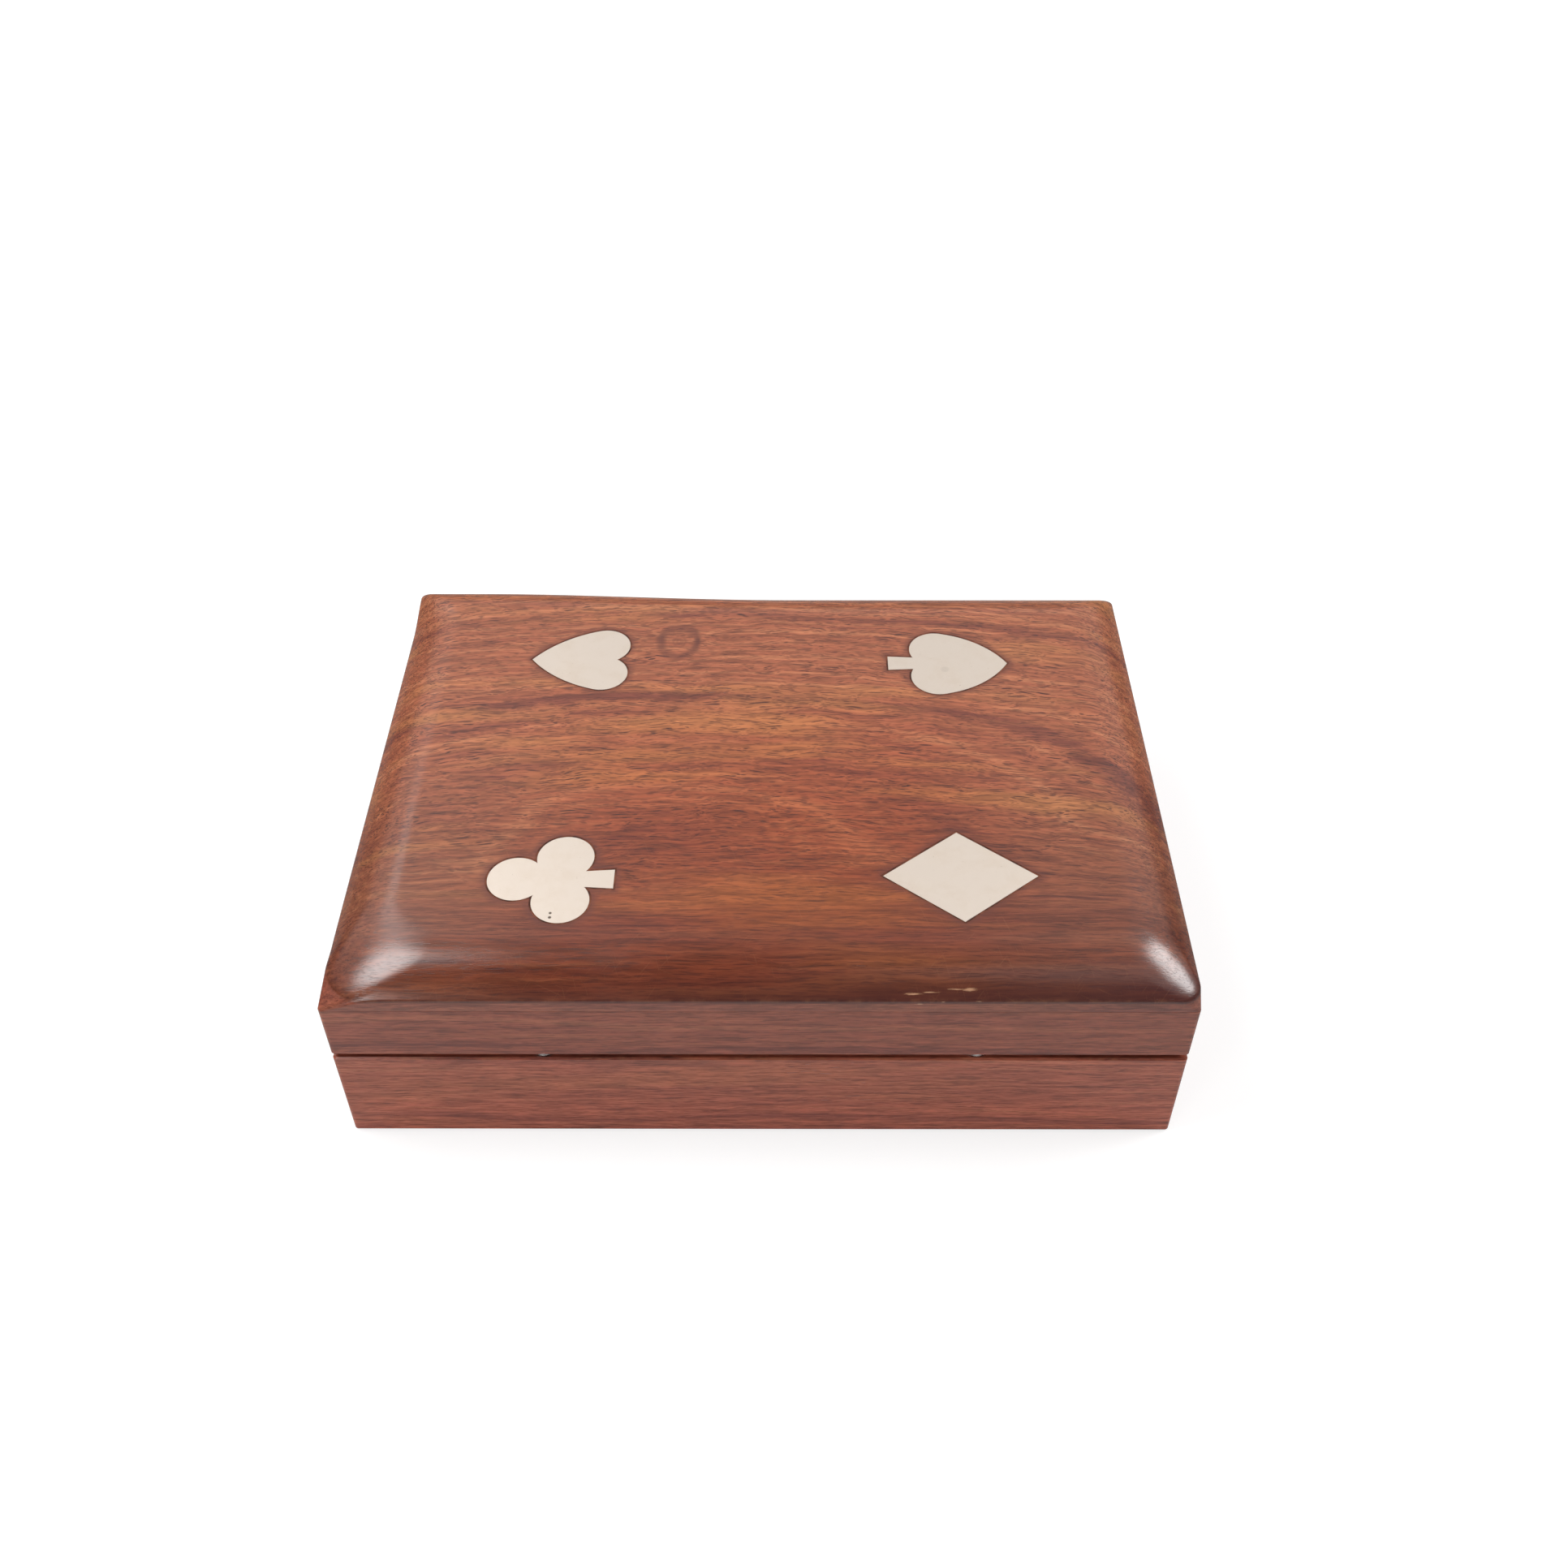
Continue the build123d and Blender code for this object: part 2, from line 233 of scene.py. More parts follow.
def makeSheesham():
    s = figure
    ins = [("Ring", "Float", 0.0), ("Flow", "Vector", None), ("Band", "Float", 0.5), ("Figure", "Float", 1.0)]
    ins += [("Pores", "Float", 0.6), ("Fineness", "Float", 1.0)]
    grey = (0.5, 0.5, 0.5, 1.0)
    ins += [(name, "Color", grey) for name in ("Light", "Middle", "Dark", "Golden", "Vessel Tone")]
    outs = [("Tone", "Color"), ("Vessel", "Float"), ("Grain", "Float")]
    tree, given, result = newGroup("sheeshamTone", ins, outs)
    flow = given["Flow"]
    sources = dict(
        broad=bands(tree, given["Ring"], s["broadPitch"], 2.0, 0.5),
        narrow=bands(tree, given["Ring"], s["narrowPitch"], 3.0, 0.6),
        streak=cloud(tree, flow, s["streak"], 3.0, 0.6),
        band=given["Band"],
    )
    parts = [product(tree, calc(tree, "SUBTRACT", source, 0.5), s[name + "Share"])
             for name, source in sources.items()]
    depth = calc(tree, "MULTIPLY_ADD", total(tree, *parts), given["Figure"], 0.5)
    tone = mixTone(tree, smooth(tree, depth, *s["darkTo"]), given["Dark"], given["Middle"])
    tone = mixTone(tree, smooth(tree, depth, *s["lightFrom"]), tone, given["Light"])
    warm = smooth(tree, cloud(tree, flow, s["golden"], 2.0), *s["goldenFrom"])
    tone = mixTone(tree, warm, tone, given["Golden"])
    fine = calcVector(tree, "MULTIPLY", flow, given["Fineness"])
    fibre = cloud(tree, fine, s["fibre"], 3.0, 0.6)
    shade = smooth(tree, fibre, *s["fibreShade"])
    shade = put(tree, "ShaderNodeCombineColor", {0: shade, 1: shade, 2: shade}).outputs[0]
    tone = mixTone(tree, 1.0, tone, shade, "MULTIPLY")
    patch = smooth(tree, cloud(tree, flow, s["patch"], 2.0), *s["patchFrom"])
    longOnes = product(tree, tubes(tree, fine, s["longVessel"], s["vesselReach"]), patch)
    shortOnes = product(tree, tubes(tree, fine, s["shortVessel"], s["vesselReach"]), s["shortShare"])
    vessel = calc(tree, "MAXIMUM", longOnes, shortOnes)
    tone = mixTone(tree, product(tree, vessel, given["Pores"]), tone, given["Vessel Tone"])
    feed(tree, result["Tone"], tone)
    feed(tree, result["Vessel"], vessel)
    relief = product(tree, fibre, s["fibreRelief"])
    feed(tree, result["Grain"], calc(tree, "MULTIPLY_ADD", vessel, -1.0, relief))
    return tree


rubbing = dict(patch=(0.30, 0.30, 0.30), patchFrom=(0.42, 0.66))


def makeRub():  # lacquer rubbed thin along the outer edges of the box
    ins = [("Spot", "Vector", None), ("Foot", "Float", 0.0), ("Head", "Float", 20.0)]
    ins += [("Breadth", "Float", 0.7)]
    tree, given, result = newGroup("rubbedEdges", ins, [("Rub", "Float")])
    at = split(tree, given["Spot"])
    fromEnd = calc(tree, "SUBTRACT", cadBox[1].x / mm, calc(tree, "ABSOLUTE", at["X"]))
    fromFront = calc(tree, "SUBTRACT", cadBox[1].y / mm, calc(tree, "ABSOLUTE", at["Y"]))
    gaps = [calc(tree, "ABSOLUTE", calc(tree, "SUBTRACT", at["Z"], given[name])) for name in ("Foot", "Head")]
    fromLevel = calc(tree, "MINIMUM", *gaps)
    upright = calc(tree, "MAXIMUM", fromEnd, fromFront)
    level = calc(tree, "MAXIMUM", calc(tree, "MINIMUM", fromEnd, fromFront), fromLevel)
    near = smooth(tree, calc(tree, "MINIMUM", upright, level), given["Breadth"], 0.0)
    patch = smooth(tree, cloud(tree, given["Spot"], rubbing["patch"], 3.0, 0.65), *rubbing["patchFrom"])
    feed(tree, result["Rub"], product(tree, near, patch))
    return tree


scratching = dict(
    turns=(0.35, 1.25, 2.3), line=(0.16, 5.0, 0.4), lineFrom=(0.74, 0.80),
    patch=(0.11, 0.11, 0.11), patchFrom=(0.35, 0.65),
)


def makeScratches():  # hair scratches that run several ways
    s = scratching
    ins = [("Spot", "Vector", None), ("Count", "Float", 0.5)]
    tree, given, result = newGroup("hairScratches", ins, [("Scratch", "Float")])
    found = 0.0
    for turn in s["turns"]:
        feeds = {"Vector": given["Spot"], "Rotation": (0.0, 0.0, turn)}
        turned = put(tree, "ShaderNodeMapping", feeds).outputs[0]
        line = smooth(tree, cloud(tree, turned, s["line"], 0.0), *s["lineFrom"])
        found = calc(tree, "MAXIMUM", found, line)
    patch = smooth(tree, cloud(tree, given["Spot"], s["patch"]), *s["patchFrom"])
    feed(tree, result["Scratch"], product(tree, found, patch, given["Count"]))
    return tree


growthRings = makeRings()
sheeshamTone = makeSheesham()
rubbedEdges = makeRub()
hairScratches = makeScratches()
print("card box: shared effects made")


# hardwood boards, each sawn from its own place in the log

tones = dict(
    top=dict(
        light=(0.385, 0.136, 0.062), middle=(0.272, 0.078, 0.036),
        dark=(0.155, 0.039, 0.023), golden=(0.385, 0.145, 0.051),
    ),
    wall=dict(
        light=(0.40, 0.121, 0.064), middle=(0.318, 0.083, 0.048),
        dark=(0.205, 0.052, 0.034), golden=(0.37, 0.109, 0.055),
    ),
    vessel=(0.045, 0.013, 0.010), rubbed=(0.40, 0.17, 0.08),
)
quarter = math.pi / 2
baseSpan = (0.0, 21.8)  # foot and rim, mm
lidSpan = (22.8, 37.0)
boards = dict(
    base_front_wall=dict(shift=(40.0, 55.0, 62.0), levels=baseSpan, floorBounceLight=1.28),
    base_back_wall=dict(shift=(-260.0, -30.0, 88.0), levels=baseSpan),
    base_left_wall=dict(shift=(420.0, 30.0, 74.0), turn=quarter, levels=baseSpan),
    base_right_wall=dict(shift=(-520.0, -40.0, 81.0), turn=quarter, levels=baseSpan),
    deck_divider=dict(shift=(900.0, 22.0, 66.0), turn=quarter, levels=(3.0, 19.0)),
    lid_front_wall=dict(shift=(610.0, 55.0, 58.0), levels=lidSpan, shade=0.77),
    lid_back_wall=dict(shift=(-700.0, -28.0, 71.0), levels=lidSpan, shade=0.80),
    lid_left_wall=dict(shift=(820.0, 36.0, 69.0), turn=quarter, levels=lidSpan, shade=0.80),
    lid_right_wall=dict(shift=(-860.0, -44.0, 77.0), turn=quarter, levels=lidSpan, shade=0.80),
)
lacquer = dict(
    rough=0.15, vesselRough=0.05, grainDepth=0.05, grainBump=0.16,
    smudge=(0.05, 0.05, 0.05), smudgeFrom=(0.3, 0.7), smudgeRough=0.08,
)
wallFigure = dict(loop=0.03, waver=0.35, pores=0.55, fineness=1.1, rubShare=0.35, floorBounceSpan=(13.0, 4.0))


def lacquered(tree, shader, tone, grain, spot):  # satin lacquer over a wood tone
    feed(tree, shader["Base Color"], tone)
    smudge = cloud(tree, spot, lacquer["smudge"], 3.0, 0.6)
    smudge = smooth(tree, smudge, *lacquer["smudgeFrom"], 0.0, lacquer["smudgeRough"])
    pits = calc(tree, "MULTIPLY_ADD", grain["Vessel"], lacquer["vesselRough"], lacquer["rough"])
    feed(tree, shader["Roughness"], calc(tree, "ADD", pits, smudge))
    roughen(tree, shader, grain["Grain"], lacquer["grainBump"], lacquer["grainDepth"])


def toned(tree, rings, palette, band=0.5, strength=1.0, pores=0.6, fineness=1.0):
    feeds = {"Ring": rings["Ring"], "Flow": rings["Flow"], "Band": band, "Figure": strength}
    feeds |= {"Pores": pores, "Fineness": fineness}
    feeds |= {name.title(): palette[name] for name in ("light", "middle", "dark", "golden")}
    feeds["Vessel Tone"] = tones["vessel"]
    return useGroup(tree, sheeshamTone, feeds)


def shaded(kind, share):
    return {key: tuple(share * part for part in tone) for key, tone in tones[kind].items()}


def wallWood(name, board):
    s = wallFigure
    material, tree, shader = newMaterial(name + "Wood", IOR=1.47)
    place = spotOf(tree, board.get("turn", 0.0), board["shift"])
    spot = spotOf(tree)
    rings = useGroup(tree, growthRings, {"Place": place, "Loop": s["loop"], "Waver": s["waver"]})
    palette = shaded("wall", board.get("shade", 1.0))
    grain = toned(tree, rings, palette, pores=s["pores"], fineness=s["fineness"])
    foot, head = board["levels"]
    rub = useGroup(tree, rubbedEdges, {"Spot": spot, "Foot": foot, "Head": head})["Rub"]
    tone = mixTone(tree, product(tree, rub, s["rubShare"]), grain["Tone"], tones["rubbed"])
    if "floorBounceLight" in board:  # painted light bounced from the floor, paler along the lower half
        low = smooth(tree, split(tree, spot)["Z"], *s["floorBounceSpan"])
        tone = mixTone(tree, low, tone, (board["floorBounceLight"],) * 3, "MULTIPLY")
    lacquered(tree, shader, tone, grain, spot)
    return material


def dress(node, material):
    node.data.materials.clear()
    node.data.materials.append(material)


for name, board in boards.items():
    dress(nodes[name], wallWood(name, board))
print("card box: walls and divider grained")


# crowned lid board, with soft hips, an eased arris and the pockets of the suits

lidBoard = dict(
    halfWidth=75.0, halfDepth=55.0, foot=35.0, top=43.0, pocketFloor=41.8,  # the solid's own sizes, mm
    arris=37.8, reach=12.5, bulge=1.45,
    footEase=0.06, arrisEase=0.26, easeSteps=4, crownSteps=26, pitch=0.9, cornerSteps=16,
    footRound=0.9,  # contour radius at the foot
    hips=dict(  # contour radius at the arris, just above it, half way in and at the flat
        rightFront=(3.0, 7.5, 5.5, 2.0), rightBack=(1.2, 1.6, 2.0, 2.5),
        leftBack=(1.2, 1.6, 2.0, 2.5), leftFront=(8.5, 10.5, 12.0, 8.0),
    ),
    hipShares=(0.0, 0.14, 0.5, 1.0), hipBlend=0.12,
    dip=0.55, dipReach=9.0,  # the crown sinks at the left front corner, where it was sanded most
    fullBack=1.7, fullFrom=5.0, fullTo=-60.0,  # and stands full at the left end of the back
    leftEase=0.6,  # the left arris is sanded back a little
    fieldPitch=1.6, fieldClear=0.35, weld=2e-6, sharpAngle=32, wave=0.07, waveLength=26.0,
)
chips = [  # scuffs on the front of the crown: x, z, half length, half height, depth
    (25.9, 38.75, 1.5, 0.13, 0.08), (29.0, 38.90, 1.7, 0.08, 0.05), (33.2, 39.25, 1.6, 0.10, 0.06),
    (35.6, 39.20, 1.3, 0.22, 0.12), (27.0, 37.20, 0.7, 0.13, 0.06), (31.0, 37.75, 0.4, 0.12, 0.05),
    (37.1, 37.80, 0.6, 0.09, 0.04),
]


def crownHeight(inset):  # arc from the arris up to the flat
    rise = lidBoard["top"] - lidBoard["arris"]
    chord = math.hypot(lidBoard["reach"], rise)
    bulge = lidBoard["bulge"]
    radius = (chord * chord / 4 + bulge * bulge) / (2 * bulge)
    middle = Vector((lidBoard["reach"] / 2, lidBoard["arris"] + rise / 2))
    centre = middle + Vector((-rise, lidBoard["reach"])) / chord * (bulge - radius)
    return centre.y + math.sqrt(max(radius ** 2 - (inset - centre.x) ** 2, 0.0))


def boardProfile():  # (inset, height, share of the crown) from the foot up
    s = lidBoard
    points = [(s["footEase"], s["foot"], 0.0), (0.0, s["foot"] + s["footEase"], 0.0)]
    start = Vector((0.0, s["arris"] - s["arrisEase"]))
    corner = Vector((0.0, s["arris"]))
    end = Vector((s["arrisEase"], crownHeight(s["arrisEase"])))
    for i in range(s["easeSteps"] + 1):
        t = i / s["easeSteps"]
        p = start * (1 - t) ** 2 + corner * 2 * t * (1 - t) + end * t * t
        points.append((p.x, p.y, 0.0))
    for i in range(1, s["crownSteps"] + 1):
        share = i / s["crownSteps"]
        inset = s["arrisEase"] + (s["reach"] - s["arrisEase"]) * share
        points.append((inset, min(crownHeight(inset), s["top"]), share))
    points[-1] = (s["reach"], s["top"], 1.0)
    return points


def contour(inset, height, share):  # closed rounded rectangle, counter-clockwise from the right front
    s = lidBoard
    wide, deep = s["halfWidth"] - inset, s["halfDepth"] - inset
    rise = min((height - s["foot"]) / (s["arris"] - s["foot"]), 1.0)
    points = []
    counts = (round(2 * s["halfDepth"] / s["pitch"]), round(2 * s["halfWidth"] / s["pitch"])) * 2
    hips = list(s["hips"].values())
    arcs = []
    for k, (sx, sy) in enumerate(((1, -1), (1, 1), (-1, 1), (-1, -1))):
        shares = [share + s["hipBlend"] * step for step in (-1, -0.5, 0, 0.5, 1)]
        radius = float(np.mean(np.interp(shares, s["hipShares"], hips[k])))
        radius = s["footRound"] + (radius - s["footRound"]) * rise
        centre = Vector((sx * (wide - radius), sy * (deep - radius)))
        begin = (k - 1) * quarter
        arcs.append([centre + radius * Vector((math.cos(a), math.sin(a)))
                     for a in (begin + quarter * i / s["cornerSteps"] for i in range(s["cornerSteps"] + 1))])
    for k, arc in enumerate(arcs):
        points += arc
        follow = arcs[(k + 1) % 4][0]
        points += [arc[-1].lerp(follow, i / counts[k]) for i in range(1, counts[k])]
    return points


def eased(t):
    t = max(min(t, 1.0), 0.0)
    return t * t * (3 - 2 * t)


def worn(point, share):  # hand-sanded unevenness and the chips at the front arris, inward only
    s = lidBoard
    fade = min(share * 4, 1.0) * min((1 - share) * 3, 1.0)
    sunk = s["wave"] * (0.5 + 0.5 * noise.noise(point / s["waveLength"])) * fade
    if point.y < 0 and point.z > s["foot"] + 1.0:
        for x, z, halfLength, halfHeight, depth in chips:
            far = math.hypot((point.x - x) / halfLength, (point.z - z) / halfHeight)
            sunk += depth * max(1 - far * far, 0.0)
    corner = math.hypot(point.x + s["halfWidth"], point.y + s["halfDepth"])
    lift = max(min((point.z - s["foot"]) / (s["arris"] - s["foot"]), 1.0), 0.0)
    point = point - Vector((0.0, 0.0, s["dip"] * lift * math.exp(-(corner / s["dipReach"]) ** 2)))
    fromBack = max(s["halfDepth"] - point.y, 0.0)
    leftward = eased((point.x - s["fullFrom"]) / (s["fullTo"] - s["fullFrom"]))
    full = s["fullBack"] * lift * leftward * eased(1 - fromBack / s["reach"])
    fromLeft = max(point.x + s["halfWidth"], 0.0)
    fromFront = point.y + s["halfDepth"]
    ease = s["leftEase"] * lift * eased(1 - fromLeft / s["reach"]) * eased(fromFront / s["reach"])
    point = Vector((point.x + ease, point.y, min(point.z + full, s["top"])))
    inward = Vector((0.0, 0.0, -1.0))
    if point.y < -s["halfDepth"] + s["reach"]:  # on the front of the crown
        inward = Vector((0.0, 1.0, -0.6)).normalized()
    return point + inward * sunk


def suitOutlines():  # outer edge loop of each bedding ring, read from its top faces
    mesh = nodes["inlay_bedding"].data
    sides = {}
    key = lambda v: tuple(round(c / mm, 3) for c in mesh.vertices[v].co.xy)
    for face in mesh.polygons:
        if face.normal.z > 0.9:
            corners = [key(v) for v in face.vertices]
            for a, b in zip(corners, corners[1:] + corners[:1]):
                sides[(a, b)] = True
    rim = {a: b for a, b in sides if (b, a) not in sides}
    loops = []
    while rim:
        loop = [next(iter(rim))]
        while loop[-1] in rim:
            loop.append(rim.pop(loop[-1]))
        loops.append(np.array(loop[:-1]))
    area = lambda p: 0.5 * float(np.sum(p[:, 0] * np.roll(p[:, 1], -1) - p[:, 1] * np.roll(p[:, 0], -1)))
    return [loop for loop in loops if area(loop) > 0]  # an outer edge runs counter-clockwise


def inside(points, loop):  # even-odd test of many points
    x, y = points[:, 0][:, None], points[:, 1][:, None]
    ax, ay = loop[:, 0], loop[:, 1]
    bx, by = np.roll(ax, -1), np.roll(ay, -1)
    crosses = (ay > y) != (by > y)
    slope = (bx - ax) / np.where(by == ay, 1e-12, by - ay)
    return np.sum(crosses & (x < ax + slope * (y - ay)), axis=1) % 2 == 1


def nearest(points, loops, step=0.3):  # distance in mm from each point to the suits' edges
    samples = []
    for loop in loops:
        for a, b in zip(loop, np.roll(loop, -1, axis=0)):
            count = max(int(np.linalg.norm(b - a) / step), 1)
            samples += [a + (b - a) * i / count for i in range(count)]
    tree = kdtree.KDTree(len(samples))
    for i, p in enumerate(samples):
        tree.insert((p[0], p[1], 0.0), i)
    tree.balance()
    return np.array([tree.find((p[0], p[1], 0.0))[2] for p in points])


def buildLidBoard():
    s = lidBoard
    suits = suitOutlines()
    soup = bmesh.new()
    rings = []
    for inset, height, share in boardProfile():
        ring = [worn(Vector((p.x, p.y, height)), share) for p in contour(inset, height, share)]
        rings.append([soup.verts.new(p * mm) for p in ring])
    for low, high in zip(rings, rings[1:]):
        for i in range(len(low)):
            j = (i + 1) % len(low)
            soup.faces.new((low[i], low[j], high[j], high[i]))
    soup.faces.new(list(reversed(rings[0])))
    # flat field between the crown and the pockets
    edge = np.array([v.co.xy for v in rings[-1]]) / mm
    wide, deep = s["halfWidth"] - s["reach"], s["halfDepth"] - s["reach"]
    columns, rows = (np.arange(-half, half, s["fieldPitch"]) for half in (wide, deep))
    grid = np.array([(x, y) for x in columns for y in rows])
    loops = [edge, *suits]
    grid = grid[inside(grid, edge) & (nearest(grid, loops) > s["fieldClear"] * s["fieldPitch"])]
    rims = []
    start = 0
    for loop in loops:
        count = len(loop)
        rims += [(start + i, start + (i + 1) % count) for i in range(count)]
        start += count
    points = [Vector(p) for p in np.vstack([*loops, grid])]
    found, _, faces, _, _, _ = geometry.delaunay_2d_cdt(points, rims, [], 0, 1e-5)
    flat = np.array([p[:] for p in found])
    middles = np.array([flat[list(f)].mean(axis=0) for f in faces])
    keep = inside(middles, edge)
    for loop in suits:
        keep &= ~inside(middles, loop)
    verts = [soup.verts.new((p[0] * mm, p[1] * mm, s["top"] * mm)) for p in flat]
    for face, kept in zip(faces, keep):
        if kept:
            soup.faces.new([verts[i] for i in face])
    for loop in suits:  # pocket walls and floor
        upper = [soup.verts.new((x * mm, y * mm, s["top"] * mm)) for x, y in loop]
        lower = [soup.verts.new((x * mm, y * mm, s["pocketFloor"] * mm)) for x, y in loop]
        for i in range(len(loop)):
            j = (i + 1) % len(loop)
            soup.faces.new((upper[j], upper[i], lower[i], lower[j]))
        soup.faces.new(lower)
    bmesh.ops.remove_doubles(soup, verts=soup.verts, dist=s["weld"])
    loose = [v for v in soup.verts if not v.link_faces]
    bmesh.ops.delete(soup, geom=loose, context="VERTS")
    bmesh.ops.recalc_face_normals(soup, faces=soup.faces)
    mesh = bpy.data.meshes.new("crownedLidBoard")
    soup.to_mesh(mesh)
    soup.free()
    mesh.shade_smooth()
    mesh.set_sharp_from_angle(angle=math.radians(s["sharpAngle"]))
    shadow = mesh.attributes.new("inlayDistance", "FLOAT", "POINT")
    at = np.array([v.co.xy for v in mesh.vertices]) / mm
    shadow.data.foreach_set("value", nearest(at, suits).astype(np.float32))
    board = bpy.data.objects.new("crownedLidBoard", mesh)
    scene.collection.objects.link(board)
    return board


lidFigure = dict(
    shift=(12.0, 20.0, -29.0), loop=0.45, bow=9.5e-4,  # rings arch behind the front of the board
    reach=80.0,
    rings=[  # share of the reach, and level of the wood there
        (0.0, 0.50), (0.20, 0.45), (0.25, 0.62), (0.305, 0.32), (0.36, 0.60), (0.44, 0.62), (0.475, 0.54),
        (0.506, 0.30), (0.54, 0.52), (0.60, 0.62), (0.635, 0.60), (0.649, 0.44), (0.667, 0.66), (0.685, 0.44),
        (0.703, 0.70), (0.721, 0.46), (0.739, 0.72), (0.757, 0.50), (0.78, 0.72), (0.85, 0.72), (1.0, 0.72),
    ],
    knot=(-17.6, 34.6, 43.0), knotSize=(1.0, 0.82, 0.30), knotReach=4.3, knotTone=(0.095, 0.026, 0.017),
    knotLift=3.4, knotSpread=2.4, knotCloud=(0.25, 0.25, 0.25), knotWobble=1.6, knotTurns=1.3,
    rimOuter=(0.9, -0.2), rimInner=(-2.0, -0.4), coreFade=(0.0, -1.0), turnFrom=(0.4, 0.65), turnShare=0.30,
    rimCloud=(0.16, 0.16, 0.16), rimPatch=(0.35, 0.62, 0.50, 0.95),
    halo=(0.10, 0.025, 0.016), haloReach=(3.0, 0.7), haloCloud=(0.22, 0.22, 0.22), haloWobble=2.2,
    haloPower=1.3, haloShare=0.72,
    frontShade=(14.0, -40.0), frontTone=(0.665, 0.675, 0.69),  # darker towards the front
    # painted shade on the sloping front of the crown
    crownShade=(-36.0, -46.0), crownTone=(0.755, 0.655, 0.645),
    warmEnds=(58.0, 24.0), warmFront=(30.0, -30.0), warmCrown=(-50.0, -41.0, 0.45, 1.0),
    warmTone=(1.0, 0.72, 0.56),  # redder in the middle
    # painted shade: a dark band low on the front of the crown, just above the arris
    shadeBand=(-49.4, -56.2), shadeBandTone=(0.056, 0.016, 0.017), shadeBandShare=0.78, shadeSlant=-0.040,
    shadeBandCloud=(0.01, 0.35, 0.35), shadeBandPatch=(0.20, 0.42, 0.8),
    edgeLevels=(37.05, 37.50), edgeShade=0.87, fewPores=(-44.0, -16.0, 0.5, 1.0),
    chipTone=(0.50, 0.27, 0.15), chipShare=0.85, chipInset=0.6, chipReach=3.0, chipSpan=(2.3, 1.3),
    tear=(0.7, 4.0, 4.0), tearReach=2.2, rubBreadth=0.6, rubShare=0.15, scratches=0.07,
)


